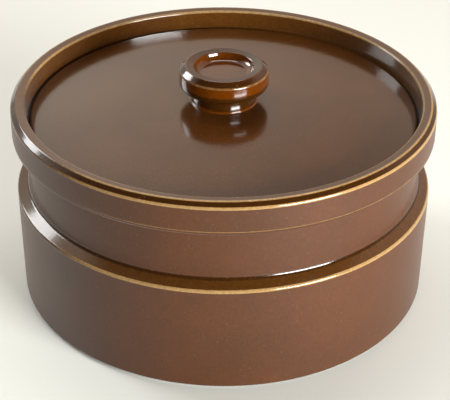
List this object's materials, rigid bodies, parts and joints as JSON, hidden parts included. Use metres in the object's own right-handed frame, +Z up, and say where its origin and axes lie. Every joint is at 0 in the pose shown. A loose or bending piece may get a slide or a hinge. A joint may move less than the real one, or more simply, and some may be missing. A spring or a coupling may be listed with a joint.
{
  "type": "casserole dish",
  "caption": "Round straight-sided stoneware casserole dish with a waist under its collar rim and a loose domed lid that sits down inside the rim, lifted by a button knob.",
  "frame": {"origin": "centre of the foot ring, on the surface that the dish stands on", "axes": "+Z up along the axis of revolution, from the foot to the knob; X and Y are equal, because both pieces are round"},
  "size_m": [0.216, 0.216, 0.1218],
  "materials": {
    "dish_glaze": "glossy",
    "lid_glaze": "glossy"
  },
  "bodies": {
    "root": {"dish": "dish_glaze", "lid": "lid_glaze"}
  },
  "joints": []
}
